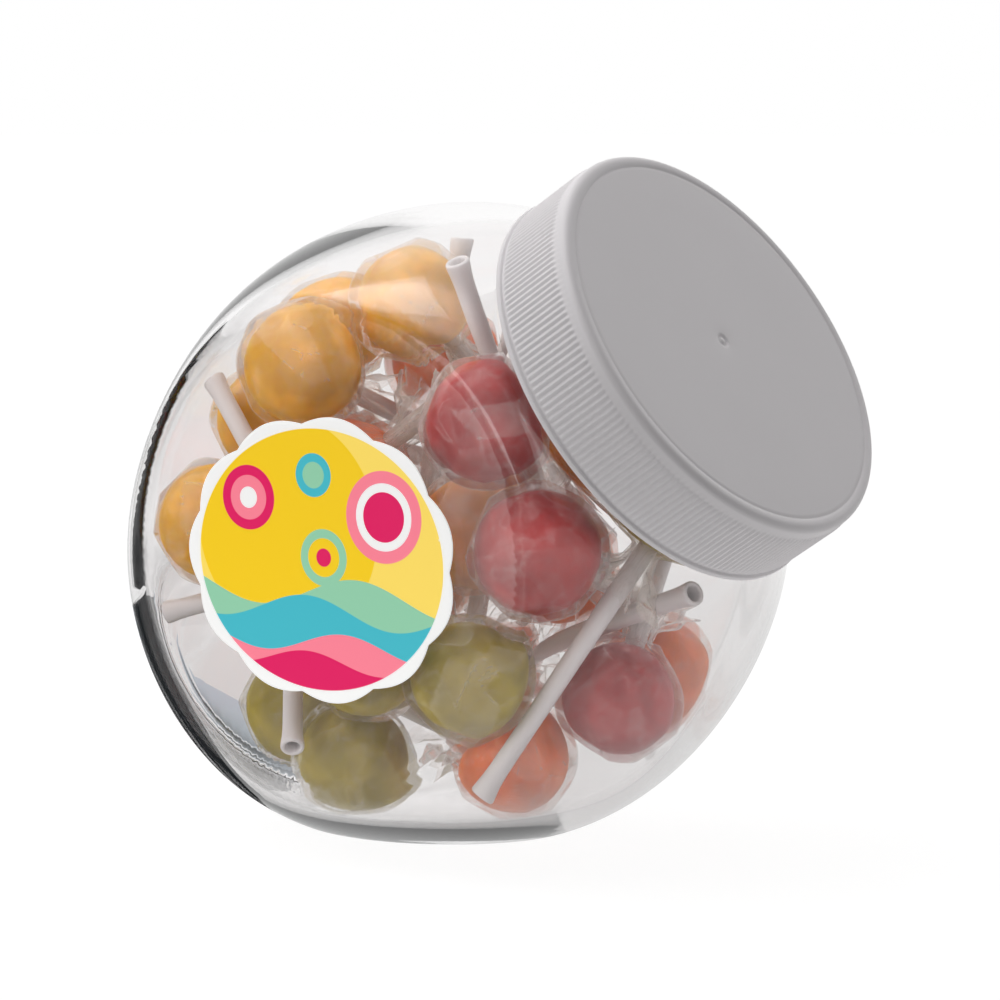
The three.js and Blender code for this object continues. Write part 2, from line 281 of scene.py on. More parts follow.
def circled(radius, turn, height):
    """Points about +Z, from their radii, angles and heights."""
    parts = np.broadcast_arrays(radius * np.cos(turn), radius * np.sin(turn), height)
    return np.stack(parts, axis=-1)


def grid_directions(polar, columns, upward):
    """Directions in a row for each polar angle, from +Z if upward is 1 and from -Z if it is -1."""
    polar_grid, turn_grid = np.meshgrid(polar, turns(columns), indexing="ij")
    return circled(np.sin(polar_grid), turn_grid, upward * np.cos(polar_grid)).reshape(-1, 3)


def ring_faces(rows, columns):
    """Quads of a grid of rows of points that each close on themselves."""
    row = np.arange(rows - 1)[:, None] * columns
    column = np.arange(columns)[None, :]
    after = (column + 1) % columns
    corners = (row + column, row + after, row + columns + after, row + columns + column)
    return np.stack(corners, axis=-1).reshape(-1, 4)


def cap_faces(pole, ring_start, columns, flip=False):
    """Triangles from a pole to a ring of points."""
    column = np.arange(columns)
    after = (column + 1) % columns
    first, second = (after, column) if flip else (column, after)
    return np.stack((np.full(columns, pole), ring_start + first, ring_start + second), axis=-1)


def closed_faces(rows, columns, flip=False):
    """Faces of a grid whose first and last rows are shut by the two points that follow it."""
    pole = rows * columns
    sides = ring_faces(rows, columns)
    return [*(sides[:, ::-1] if flip else sides),
            *cap_faces(pole, 0, columns, flip=not flip),
            *cap_faces(pole + 1, (rows - 1) * columns, columns, flip=flip)]


def new_object(name, points, faces, material, attributes=None):
    """A smooth mesh object from points in millimetres."""
    mesh = bpy.data.meshes.new(name)
    mesh.from_pydata((np.asarray(points) * MM).tolist(), [], [list(map(int, face)) for face in faces])
    for label, values in (attributes or {}).items():
        mesh.attributes.new(label, 'FLOAT', 'POINT').data.foreach_set("value", np.float32(values))
    mesh.polygons.foreach_set("use_smooth", [True] * len(mesh.polygons))
    mesh.materials.append(material)
    mesh.validate()
    mesh.update()
    made = bpy.data.objects.new(name, mesh)
    bpy.context.scene.collection.objects.link(made)
    return made


def revolve(profile, columns, ripple):
    """Points and faces of a closed solid turned about +Z from an [n, 2] profile of radius and
    height that starts and ends on the axis. The ripple is added to the radius at each ring and
    angle."""
    profile = np.asarray(profile, dtype=float)
    rings = profile[1:-1]
    radius = rings[:, :1] + ripple(rings, turns(columns))
    grid = circled(radius, turns(columns), rings[:, 1:])
    points = np.vstack((grid.reshape(-1, 3), [(0, 0, profile[0, 1]), (0, 0, profile[-1, 1])]))
    return points, closed_faces(len(rings), columns)


def jar_to_world(points):
    """Turns points of the jar's own frame, whose +Z is the mouth axis, to where the jar stands."""
    x, y, z = np.asarray(points).T
    return np.stack((x * TILT_SIN + z * TILT_COS, y, FOOT_DROP - x * TILT_COS + z * TILT_SIN), axis=-1)


def world_to_jar(directions):
    """Turns directions to the jar's own frame."""
    x, y, z = directions.T
    return np.stack((x * TILT_SIN - z * TILT_COS, y, x * TILT_COS + z * TILT_SIN), axis=-1)


def finish_piece(piece, slot, *nodes):
    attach(piece, BODY)
    if nodes:
        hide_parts(*nodes)


# ---- glass --------------------------------------------------------------------------------

GLASS_COLUMNS = 288
PANEL_SOFTNESS = 0.05  # share of the corner's depth over which its two ends are eased
FLAT_SOFTNESS = 2.0
NECK_SOFTNESS = 3.0
LIP_ROUNDING = 1.3
KNURL_RINGS = (19.5, 23.5)  # radii of the two rings of grip bumps under the base
KNURL_WIDTH = 1.2
KNURL_REACH = 0.3  # how far over the base's lowest point its grip bumps may start
OUTSIDE_WAVINESS = 0.04
GLASS_SEED = 5
SWELL_COUNT = 9
SWELL_PACE = 3.2
SWELL_GAIN = 1.6
REACH_ROUNDS = 40  # halvings that find where the body's surface lies
NECK_LIMIT = 0.3  # least height of a direction, of 1, that can meet the neck
LEAST_FACING = 0.05
LIP_STEPS = 9
SHOULDER_END = math.radians(45)
BODY_END = math.radians(152)
BASE_END = math.radians(179)
SHOULDER_ROWS, BODY_ROWS, BASE_ROWS = 26, 78, 56


def outline_radius(angle):
    """The smooth mirror-symmetric curve through the outline's radii, at angles from the mouth."""
    last = len(OUTLINE_RADII) - 1
    end_weight = [0.5 if i in (0, last) else 1.0 for i in range(last + 1)]
    total = np.zeros_like(angle)
    for wave in range(last + 1):
        amount = sum(end_weight[i] * radius * math.cos(wave * i * math.pi / last)
                     for i, radius in enumerate(OUTLINE_RADII))
        total += end_weight[wave] * 2 / last * amount * np.cos(wave * angle)
    return total


def soft_min(first, second, width):
    lean = np.clip(0.5 + 0.5 * (second - first) / width, 0, 1)
    return second * (1 - lean) + first * lean - width * lean * (1 - lean)


def eased_power(value):
    """value ** CORNER_POWER from 0 to 1, without its sharp start."""
    def raw(v):
        return (v * v + PANEL_SOFTNESS ** 2) ** (CORNER_POWER / 2) - PANEL_SOFTNESS ** CORNER_POWER
    return raw(np.maximum(value, 0)) / raw(1.0)


def body_reach(direction, inset):
    """How far the rounded body reaches from its centre along each direction."""
    x, y, z = direction.T
    outward = np.hypot(x, z)
    side_depth = outline_radius(np.arctan2(x, z)) - inset - PANEL_RADIUS
    half_depth = HALF_DEPTH - inset
    low, high = np.zeros(len(x)), np.full(len(x), 90.0)
    for _ in range(REACH_ROUNDS):
        middle = (low + high) / 2
        filled = eased_power((middle * outward - PANEL_RADIUS) / side_depth)
        filled = filled + eased_power(middle * np.abs(y) / half_depth)
        inside = filled < 1
        low, high = np.where(inside, middle, low), np.where(inside, high, middle)
    return low


def wavy(direction, seed):
    """Slow swells, mostly from -1 to 1, over all directions."""
    random = np.random.default_rng(seed)
    waves = random.normal(size=(SWELL_COUNT, 3)) * SWELL_PACE
    starts = random.uniform(0, TAU, SWELL_COUNT)
    return np.cos(direction @ waves.T + starts).mean(axis=1) * SWELL_GAIN


FLATS = ((FOOT_ANGLE, FOOT_DROP, FOOT_WALL), (-FOOT_ANGLE, FOOT_DROP, FOOT_WALL),
         (math.pi, BASE_DROP, BASE_WALL))
OUTER_WALLS = [(angle, distance) for angle, distance, _ in FLATS]
INNER_WALLS = [(angle, distance - thickness) for angle, distance, thickness in FLATS]


def glass_reach(direction, neck, walls, inset, waviness=0):
    """How far one side of the glass lies from the body's centre along each direction."""
    reach = body_reach(direction, inset) + waviness * wavy(direction, GLASS_SEED)
    for angle, distance in walls:
        facing = direction[:, 0] * math.sin(angle) + direction[:, 2] * math.cos(angle)
        reach = soft_min(reach, distance / np.maximum(facing, LEAST_FACING), FLAT_SOFTNESS)
    side = np.maximum(np.hypot(direction[:, 0], direction[:, 1]), LEAST_FACING)
    above = direction[:, 2] > NECK_LIMIT
    with_neck = -soft_min(-reach, -neck / side, NECK_SOFTNESS)
    return np.where(above, with_neck, reach)


def glass_surface(polar, neck, walls, inset, waviness):
    """A grid of points over one side of the glass, a row for each polar angle from the mouth."""
    direction = grid_directions(polar, GLASS_COLUMNS, 1)
    return direction * glass_reach(direction, neck, walls, inset, waviness)[:, None]


def polar_rows(neck):
    """Polar angles from the mouth's rim to just short of the base's middle, closer at the neck
    and under the base."""
    rim = math.atan2(neck, MOUTH_HEIGHT - LIP_ROUNDING)
    spans = ((rim, SHOULDER_END, SHOULDER_ROWS), (SHOULDER_END, BODY_END, BODY_ROWS),
             (BODY_END, BASE_END, BASE_ROWS))
    return np.concatenate([np.linspace(a, b, n, endpoint=False) for a, b, n in spans])


def add_knurl(points, height):
    """Raises every second column of two rings of points on the base into small bumps."""
    column = np.arange(len(points)) % GLASS_COLUMNS
    across = np.hypot(points[:, 0], points[:, 1])
    raised = np.zeros(len(points))
    for ring in KNURL_RINGS:
        raised = np.maximum(raised, np.clip(1 - np.abs(across - ring) / (KNURL_WIDTH / 2), 0, 1))
    on_base = points[:, 2] < -BASE_DROP + KNURL_REACH
    points[:, 2] += np.where(on_base & (column % 2 == 0), raised * height, 0)
    return points


def jar_glass_mesh(settings):
    wall = settings.wall / MM
    outer = glass_surface(polar_rows(NECK_RADIUS), NECK_RADIUS, OUTER_WALLS, 0, OUTSIDE_WAVINESS)
    outer = add_knurl(outer, settings.knurl_height / MM)
    inner = glass_surface(polar_rows(NECK_BORE), NECK_BORE, INNER_WALLS, wall, settings.waviness / MM)
    middle = (NECK_RADIUS + NECK_BORE) / 2
    half = (NECK_RADIUS - NECK_BORE) / 2
    step = np.linspace(0, math.pi, LIP_STEPS)[1:-1, None]
    lip = circled(middle - half * np.cos(step), turns(GLASS_COLUMNS),
                  MOUTH_HEIGHT - LIP_ROUNDING * (1 - np.sin(step)))
    inner_rows = inner.reshape(-1, GLASS_COLUMNS, 3)[::-1]
    outer_rows = outer.reshape(-1, GLASS_COLUMNS, 3)
    rows = np.concatenate((inner_rows, lip, outer_rows))
    points = np.vstack((rows.reshape(-1, 3), [(0, 0, -(BASE_DROP - BASE_WALL)), (0, 0, -BASE_DROP)]))
    return jar_to_world(points), closed_faces(len(rows), GLASS_COLUMNS, flip=True)


def glass_material(settings):
    material, graph = new_material("jar_glass")
    shader = graph.node("ShaderNodeBsdfPrincipled", None, {
        "Base Color": opaque(settings.tint), "Roughness": 0.0, "IOR": 1.5, "Transmission Weight": 1.0})
    graph.end(shader)
    return material


class OBJECT_OT_make_jar_glass(bpy.types.Operator):
    """Make the blown glass jar with its neck, foot and knurled base"""
    bl_idname = "lollipop_jar.make_glass"
    bl_label = "Make Jar Glass"
    bl_options = {'REGISTER', 'UNDO'}

    def execute(self, context):
        settings = context.scene.lollipop_jar.glass
        points, faces = jar_glass_mesh(settings)
        piece = new_object("jar_glass", points, faces, glass_material(settings))
        piece.visible_shadow = False  # lamps reach the sweets through clear glass
        finish_piece(piece, "glass", "jar")
        return {'FINISHED'}


# ---- lid ----------------------------------------------------------------------------------

LID_TOP = 75.8
LID_OPEN = 57.0
LID_RADIUS = 42.2
LID_BORE = 40.0
LID_PLATE = 1.6
LID_BAND = (1.3, 0.6)  # height of the plain band at the open end, and how far it stands out
LID_ROUNDING = 1.5
CREASE_RADIUS = 39.4  # the moulded line inside the face's edge
CREASE_DEPTH = 0.25
CREASE_HALF = 0.45
FACE_SINK = 0.1  # how much lower the face lies inside the crease
GATE_RADIUS = 1.5
RIB_SPAN = (58.6, 72.9)
RIB_FADE = 0.9
RIB_COLUMNS = 6  # columns of points for each rib


def arc(centre_radius, centre_height, radius, start, end, steps):
    """Profile points on an arc, at angles in degrees from the outward radius towards the face."""
    angles = np.radians(np.linspace(start, end, steps))
    return [(centre_radius + radius * math.cos(a), centre_height + radius * math.sin(a)) for a in angles]


def lid_profile():
    band_height, band_proud = LID_BAND
    band = LID_RADIUS + band_proud
    under = LID_TOP - LID_PLATE
    face = LID_TOP - FACE_SINK
    profile = [(r, under) for r in (0, 12, 30, 38.6)]
    profile += [(LID_BORE - 0.4, under - 0.3), (LID_BORE, under - 1.2), (LID_BORE, 68), (LID_BORE, 60)]
    profile += [(LID_BORE + 0.2, LID_OPEN + 0.2), (LID_BORE + 0.6, LID_OPEN)]
    profile += arc(band - 0.4, LID_OPEN + 0.4, 0.4, -90, 0, 4)
    profile += arc(band - 0.35, LID_OPEN + band_height - 0.35, 0.35, 0, 80, 4)
    profile += [(LID_RADIUS + 0.1, LID_OPEN + band_height + 0.05)]
    low, high = RIB_SPAN
    profile += [(LID_RADIUS, z) for z in np.linspace(low, low + RIB_FADE, 4)]
    profile += [(LID_RADIUS, z) for z in (62, 66, 70)]
    profile += [(LID_RADIUS, z) for z in np.linspace(high - RIB_FADE, high, 4)]
    profile += arc(LID_RADIUS - LID_ROUNDING, LID_TOP - LID_ROUNDING, LID_ROUNDING, 0, 90, 9)
    profile += [(CREASE_RADIUS + CREASE_HALF, LID_TOP),
                (CREASE_RADIUS + CREASE_HALF / 2, LID_TOP - CREASE_DEPTH * 0.6),
                (CREASE_RADIUS, LID_TOP - CREASE_DEPTH),
                (CREASE_RADIUS - CREASE_HALF / 2, LID_TOP - CREASE_DEPTH * 0.8),
                (CREASE_RADIUS - CREASE_HALF, face - 0.02), (CREASE_RADIUS - 2 * CREASE_HALF, face)]
    profile += [(r, face) for r in (32, 22, 12, 5, GATE_RADIUS + 0.4)]
    profile += [(GATE_RADIUS, face - 0.06), (GATE_RADIUS - 0.25, face - 0.3), (0.7, face - 0.32),
                (0.5, face - 0.1), (0.25, face - 0.02), (0, face)]
    return profile


def lid_mesh(settings):
    ribs = settings.ribs
    depth = settings.rib_depth / MM
    low, high = RIB_SPAN

    def ripple(rings, turn):
        on_skirt = np.isclose(rings[:, 0], LID_RADIUS)
        height = rings[:, 1]
        rise = np.clip((height - low) / RIB_FADE, 0, 1) * np.clip((high - height) / RIB_FADE, 0, 1)
        strength = np.where(on_skirt, rise, 0)[:, None]
        crest = np.clip(0.5 + 0.8 * np.cos(turn * ribs), 0, 1)
        return depth * strength * crest[None, :]

    points, faces = revolve(lid_profile(), ribs * RIB_COLUMNS, ripple)
    return jar_to_world(points), faces


PLASTIC_RELIEF = 0.03 * MM


def moulded_plastic(name, tone, shade, roughness, relief):
    """Plain plastic. The shade is how dark its clouds are, with their size; the roughness is the
    least, what its grain adds and the grain's size."""
    darkest, cloud_size = shade
    smoothest, added, grain_size = roughness
    material, graph = new_material(name)
    where = graph.place()
    cloud = graph.noise(where, cloud_size, 2.0)
    grain = graph.noise(where, grain_size, 2.0)
    darker = tuple(level * darkest for level in tone)
    shader = graph.node("ShaderNodeBsdfPrincipled", None, {
        "Base Color": graph.mix(cloud, opaque(tone), opaque(darker)),
        "Roughness": smoothest + grain * added,
        "Normal": graph.bump(grain, PLASTIC_RELIEF, relief)})
    graph.end(shader)
    return material


def lid_material(settings):
    return moulded_plastic("lid_plastic", settings.tone, (0.95, 30), (0.42, 0.16, 0.35), 0.5)


class OBJECT_OT_make_jar_lid(bpy.types.Operator):
    """Make the ribbed screw lid with its moulded crease and gate mark"""
    bl_idname = "lollipop_jar.make_lid"
    bl_label = "Make Screw Lid"
    bl_options = {'REGISTER', 'UNDO'}

    def execute(self, context):
        settings = context.scene.lollipop_jar.lid
        points, faces = lid_mesh(settings)
        piece = new_object("screw_lid", points, faces, lid_material(settings))
        finish_piece(piece, "lid_plastic", "lid")
        return {'FINISHED'}


# ---- sticker ------------------------------------------------------------------------------

STICKER_SCALLOPS = 11
SCALLOP_DEPTH = 1.6
SCALLOP_COLUMNS = 32
STICKER_THICKNESS = 0.3
STICKER_STAND_OFF = 0.08
STICKER_EDGE = 0.12  # rounding of its cut edge


def sticker_place():
    """The middle of the sticker, and half its width and height, in millimetres."""
    low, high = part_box("label")
    middle = (low + high) / 2 / MM
    size = (high - low) / 2 / MM
    return middle.x, middle.z, size.x, size.z


def sticker_mesh():
    centre_x, centre_z, half_width, half_height = sticker_place()
    columns = STICKER_SCALLOPS * SCALLOP_COLUMNS
    turn = turns(columns)
    scallop = SCALLOP_DEPTH * (np.abs(np.sin(STICKER_SCALLOPS * turn / 2)) - 1)
    back = -(HALF_DEPTH + STICKER_STAND_OFF)
    front = back - STICKER_THICKNESS
    edge = STICKER_EDGE
    # Rings as [share of the outline, inset, y] from the back's middle to the front's.
    rings = [(0.3, 0, back), (0.7, 0, back), (1, edge, back), (1, 0, back - edge), (1, 0, front + edge),
             (1, edge * 0.3, front + edge * 0.3), (1, edge, front), (1, 0.8, front), (0.9, 0, front),
             (0.6, 0, front), (0.3, 0, front)]
    rows = []
    for part, inset, y in rings:
        x = ((half_width + scallop) * part - inset) * np.cos(turn)
        z = ((half_height + scallop) * part - inset) * np.sin(turn)
        rows.append(np.stack((centre_x + x, np.full_like(x, y), centre_z + z), axis=-1))
    middles = [(centre_x, back, centre_z), (centre_x, front, centre_z)]
    points = np.vstack((np.array(rows).reshape(-1, 3), middles))
    return points, closed_faces(len(rows), columns, flip=True)


PRINT_EDGE = 0.1  # softness of a printed edge, in millimetres

# Printed discs as [x, z, radius, colour], painted in order, from the sticker's middle.
PRINT_DISCS = (
    (15.5, 9.5, 9.0, "discs"), (15.5, 9.5, 6.6, "white"), (15.5, 9.5, 4.9, "dots"),
    (-17.5, 11.0, 6.4, "dots"), (-17.5, 11.0, 4.4, "discs"), (-17.5, 11.0, 2.1, "white"),
    (-1.5, 16.5, 4.3, "wave"), (-1.5, 16.5, 2.6, "foam"),
    (1.0, 0.5, 5.6, "foam"), (1.0, 0.5, 3.8, "ground"), (1.0, 0.5, 1.8, "dots"),
)

# Printed waves as [height, swing, size, shift, colour], painted in order from the top one down.
PRINT_WAVES = (
    (-6.5, 3.2, 7.5, 3, "foam"), (-10.0, 2.8, 6.8, 14, "wave"),
    (-16.5, 2.2, 6.2, 4, "discs"), (-20.0, 1.8, 5.6, 12, "dots"),
)
SUN = (-8, 6, 22.0)  # x, z and radius of the large round of the full ground colour
CONFETTI_SCALE = 0.16  # cells of confetti for each millimetre
CONFETTI_SIZE = 0.61875  # millimetres from a cell's middle to the edge of its dot
PRINT_RIM = (0.905, 0.915)  # shares of the outline between which the print gives way to white


def sticker_material(settings):
    material, graph = new_material("sticker_print")
    centre_x, centre_z, half_width, half_height = sticker_place()
    axes = graph.node("ShaderNodeSeparateXYZ", None, {0: graph.place()}, output="X").socket.node
    x = Value(graph, axes.outputs["X"]) - centre_x
    z = Value(graph, axes.outputs["Z"]) - centre_z
    inks = {"ground": opaque(settings.ground), "wave": opaque(settings.wave), "foam": opaque(settings.foam),
            "dots": opaque(settings.dots), "discs": opaque(settings.discs), "white": (0.93, 0.93, 0.92, 1)}

    def edge(distance):
        return graph.between(distance, -PRINT_EDGE, PRINT_EDGE)

    def round_distance(from_x, from_z):
        return ((x - from_x) ** 2 + (z - from_z) ** 2) ** 0.5

    sun_x, sun_z, sun_radius = SUN
    paler = tuple(min(1, level + 0.12) for level in settings.ground)
    paint = graph.mix(edge(sun_radius - round_distance(sun_x, sun_z)), opaque(paler), inks["ground"])
    for height, swing, size, shift, ink in PRINT_WAVES:
        swell = graph.node("ShaderNodeMath", {"operation": "SINE"}, {0: (x + shift) / size})
        paint = graph.mix(edge(height - z + swing * swell), paint, inks[ink])
    for disc_x, disc_z, radius, ink in PRINT_DISCS:
        paint = graph.mix(edge(radius - round_distance(disc_x, disc_z)), paint, inks[ink])
    # Confetti: a small dot about the middle of each cell of a grid in space. The sheet passes
    # between those middles, so it shows next to none.
    cell = graph.node("ShaderNodeTexVoronoi", {"feature": "F1", "voronoi_dimensions": "3D"},
                      {"Vector": graph.place(), "Scale": CONFETTI_SCALE, "Randomness": 0.8},
                      output="Distance")
    paint = graph.mix(edge(CONFETTI_SIZE - cell / CONFETTI_SCALE), paint, inks["white"])
    rim = ((x / half_width) ** 2 + (z / half_height) ** 2) ** 0.5
    paint = graph.mix(graph.between(rim, *PRINT_RIM), paint, inks["white"])
    wear = graph.noise(graph.place(), 3, 3.0)
    # The print also glows with its own colours: painted light that makes the sticker brighter than the lamps
    # alone would.
    shader = graph.node("ShaderNodeBsdfPrincipled", None, {
        "Base Color": paint, "Roughness": 0.30 + wear * 0.12,
        "Emission Color": paint, "Emission Strength": 0.38,
        "Normal": graph.bump(wear, PLASTIC_RELIEF, 0.3)})
    graph.end(shader)
    return material


class OBJECT_OT_make_jar_sticker(bpy.types.Operator):
    """Make the scalloped sticker and its printed waves and dots"""
    bl_idname = "lollipop_jar.make_sticker"
    bl_label = "Make Sticker"
    bl_options = {'REGISTER', 'UNDO'}

    def execute(self, context):
        points, faces = sticker_mesh()
        piece = new_object("sticker", points, faces, sticker_material(context.scene.lollipop_jar.sticker))
        finish_piece(piece, "label_print", "label")
        return {'FINISHED'}


# ---- lollipops ----------------------------------------------------------------------------


class Lollipop:
    """Where one lollipop lies: the middle of its sweet, the way its stick points, and its sizes."""

    def __init__(self, sweet_node):
        _, number, flavour = sweet_node.split("_")
        self.sweet_node = sweet_node
        self.stick_node = f"stick_{number}"
        self.flavour = flavour
        self.seed = int(number)
        sweet = self.node_points(sweet_node)
        stick = self.node_points(self.stick_node)
        _, _, axes = np.linalg.svd(stick - stick.mean(axis=0), full_matrices=False)
        along = (stick - stick.mean(axis=0)) @ axes[0]
        ends = [np.unique(stick[np.abs(along - end) < 0.05].round(4), axis=0).mean(axis=0)
                for end in (along.min(), along.max())]
        middle = (sweet.min(axis=0) + sweet.max(axis=0)) / 2
        ends.sort(key=lambda end: np.linalg.norm(end - middle))
        self.centre = ends[0]
        self.stick_length = float(np.linalg.norm(ends[1] - ends[0]))
        self.axis = (ends[1] - ends[0]) / self.stick_length
        off = sweet - self.centre
        off = off - np.outer(off @ self.axis, self.axis)
        self.radius = float(np.linalg.norm(off, axis=1).max())
        start = np.array((0, 0, 1.0)) if abs(self.axis[2]) < 0.9 else np.array((1.0, 0, 0))
        self.side = np.cross(start, self.axis)
        self.side /= np.linalg.norm(self.side)
        self.other_side = np.cross(self.axis, self.side)

    @staticmethod
    def node_points(name):
        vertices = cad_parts[name].data.vertices
        points = np.empty(len(vertices) * 3)
        vertices.foreach_get("co", points)
        return points.reshape(-1, 3) / MM

    def to_world(self, points):
        """Turns points whose +Z is the stick to where the lollipop lies."""
        return self.centre + points @ np.stack((self.side, self.other_side, self.axis))


def all_lollipops():
    names = sorted(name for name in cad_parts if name.startswith("sweet_"))
    return [Lollipop(name) for name in names]


def lollipops_of(flavour):
    return [lollipop for lollipop in all_lollipops() if lollipop.flavour == flavour]


def joined(parts):
    """Joins (points, faces, attributes) of several pieces into one mesh."""
    points, faces, attributes = [], [], {}
    start = 0
    for part_points, part_faces, part_attributes in parts:
        points.append(part_points)
        faces += [tuple(start + corner for corner in face) for face in part_faces]
        for label, values in part_attributes.items():
            attributes.setdefault(label, []).append(values)
        start += len(part_points)
    return np.vstack(points), faces, {label: np.concatenate(v) for label, v in attributes.items()}


SWEET_INSET = 0.9  # how much smaller the bare sweet is than its wrapped size
SWEET_ROWS = 36
SWEET_COLUMNS = 56
SEAM_PROUD = 0.16
SEAM_WIDTH = 0.07
SWEET_UNEVENNESS = 0.35
SWEET_SEED = 100


def sweet_mesh(lollipop):
    """A pressed sugar ball, a little uneven, with the seam of its mould."""
    step = math.pi / (SWEET_ROWS + 1)
    polar = np.linspace(step, math.pi - step, SWEET_ROWS)
    direction = grid_directions(polar, SWEET_COLUMNS, -1)
    uneven = SWEET_UNEVENNESS * wavy(direction, SWEET_SEED + lollipop.seed)
    seam = SEAM_PROUD * np.exp(-(direction[:, 0] / SEAM_WIDTH) ** 2)
    radius = lollipop.radius - SWEET_INSET + uneven + seam - SEAM_PROUD
    poles = (lollipop.radius - SWEET_INSET) * np.array([(0, 0, -1.0), (0, 0, 1.0)])
    points = np.vstack((direction * radius[:, None], poles))
    return lollipop.to_world(points), closed_faces(SWEET_ROWS, SWEET_COLUMNS), {}


def sweet_material(flavour, tone):
    material, graph = new_material(f"candy_{flavour}")
    where = graph.place()
    cloud = graph.noise(where, 9, 2.0)
    streaks = graph.noise(where, 3, 3.0, 0.5)
    deep = tuple(level * 0.8 for level in tone)
    pale = tuple(min(1, level * 1.1 + 0.01) for level in tone)
    paint = graph.mix(graph.between(cloud, 0.35, 0.7), opaque(deep), opaque(pale))
    # The sugar also glows faintly with its own colour: painted light that brightens the sweets beyond what
    # reaches them through the glass.
    shader = graph.node("ShaderNodeBsdfPrincipled", None, {
        "Base Color": paint, "Roughness": 0.30 + streaks * 0.2, "IOR": 1.35,
        "Subsurface Weight": 1.0, "Subsurface Radius": tuple(0.3 + 1.2 * level for level in tone),
        "Subsurface Scale": 0.005, "Emission Color": paint, "Emission Strength": 0.06,
        "Normal": graph.bump(streaks, 0.0003, 0.2)})
    graph.end(shader)
    return material


class OBJECT_OT_make_sweets(bpy.types.Operator):
    """Make the boiled sugar balls, one mesh for each flavour"""
    bl_idname = "lollipop_jar.make_sweets"
    bl_label = "Make Sweets"
    bl_options = {'REGISTER', 'UNDO'}

    def execute(self, context):
        settings = context.scene.lollipop_jar.lollipops
        for flavour in FLAVOURS:
            group = lollipops_of(flavour)
            points, faces, _ = joined([sweet_mesh(lollipop) for lollipop in group])
            material = sweet_material(flavour, getattr(settings, flavour))
            piece = new_object(f"sweets_{flavour}", points, faces, material)
            finish_piece(piece, f"candy_{flavour}", *[lollipop.sweet_node for lollipop in group])
        return {'FINISHED'}


FILM_COLUMNS = 120
FILM_SEED = 400
FILM_BALL_ROWS = 46
FILM_BALL_START = math.radians(2)
FILM_BALL_END = math.radians(142)
FILM_CLOSING = math.radians(95)  # where the film starts to draw together
FILM_FACETS = 17
FACET_SPREAD = 0.22  # how unevenly the facets are turned
FACET_SOFTNESS = 0.12
FACET_LIMIT = 0.2  # least cosine at which a facet counts
FACET_FAR = 99.0  # the reach of a facet that doesn't count
CREASE_WIDTH = 0.25
FILM_LEAST = 0.06  # nearest and furthest that the film lies from a sweet
FILM_MOST = 1.6
FILM_SNUG = 0.12
FILM_CLEARANCE = 0.3  # between the film and the glass
# The gathered end as [radius, height over the sweet, depth of its folds, rows].
FILM_NECK = ((2.8, 1.8, 0.18, 8), (3.1, 4.4, 0.25, 6), (6.0, 8.2, 0.40, 8), (8.2, 11.5, 0.45, 8))
FILM_PANE = 9.0  # sizes of the panes that the film is pulled into, in millimetres
FILM_SMALL_PANE = 4.0
FOLD_WIDTH = 0.35
FILM_PLAIN = (0.95, 0.90, 0.87)
FILM_SWEET_REFLECTION = 0.14  # share of its sweet's colour in a film's milky parts: a painted reflection of the sweet's colour
FILM_GRAZING = 0.3  # how much milkier film looks where it is seen edge on


def kept_inside(points):
    """Draws points that lie in the glass, or beyond it, back inside the jar."""
    from_centre = points - (0, 0, FOOT_DROP)
    distance = np.linalg.norm(from_centre, axis=1)
    direction = world_to_jar(from_centre / distance[:, None])
    reach = glass_reach(direction, NECK_BORE, INNER_WALLS, HALF_DEPTH - INNER_HALF_DEPTH)
    return from_centre * np.minimum(1, (reach - FILM_CLEARANCE) / distance)[:, None] + (0, 0, FOOT_DROP)


def film_planes(random, radius, gap):
    """Directions and distances of the flat facets that the film is pulled into."""
    count = FILM_FACETS
    height = 1 - 2 * (np.arange(count) + 0.5) / count
    turn = np.arange(count) * math.pi * (3 - math.sqrt(5))
    normals = circled(np.sqrt(1 - height ** 2), turn, height)
    normals += random.normal(size=normals.shape) * FACET_SPREAD
    normals /= np.linalg.norm(normals, axis=1)[:, None]
    return normals, radius + gap * random.uniform(0, 1, count) ** 1.5


def film_facets(random, direction, bare, gap):
    """How far the film reaches along each direction, a tone from 0 to 1 for each facet, and the
    creases between them."""
    normals, distances = film_planes(random, bare + FILM_SNUG, gap)
    facing = direction @ normals.T
    reach = np.where(facing > FACET_LIMIT, distances / np.maximum(facing, FACET_LIMIT), FACET_FAR)
    order = np.argsort(reach, axis=1)
    rows = np.arange(len(direction))
    nearest, second = reach[rows, order[:, 0]], reach[rows, order[:, 1]]
    smooth = np.clip(soft_min(nearest, second, FACET_SOFTNESS), bare + FILM_LEAST, bare + FILM_MOST)
    tone = random.uniform(0, 1, FILM_FACETS)[order[:, 0]]
    return smooth, tone, np.exp(-((second - nearest) / CREASE_WIDTH) ** 2)


def film_panes(random, sheet, size):
    """Straight-edged panes of a flat sheet: a tone from 0 to 1 for each, and the folds between."""
    reach = np.abs(sheet).max()
    count = int((2 * reach / size) ** 2)
    middles = random.uniform(-reach, reach, (count, 2))
    tones = random.uniform(0, 1, count)
    distance = np.linalg.norm(sheet[:, None, :] - middles[None, :, :], axis=2)
    order = np.argpartition(distance, 1, axis=1)
    rows = np.arange(len(sheet))
    nearest, second = distance[rows, order[:, 0]], distance[rows, order[:, 1]]
    return tones[order[:, 0]], np.exp(-((second - nearest) / FOLD_WIDTH) ** 2)


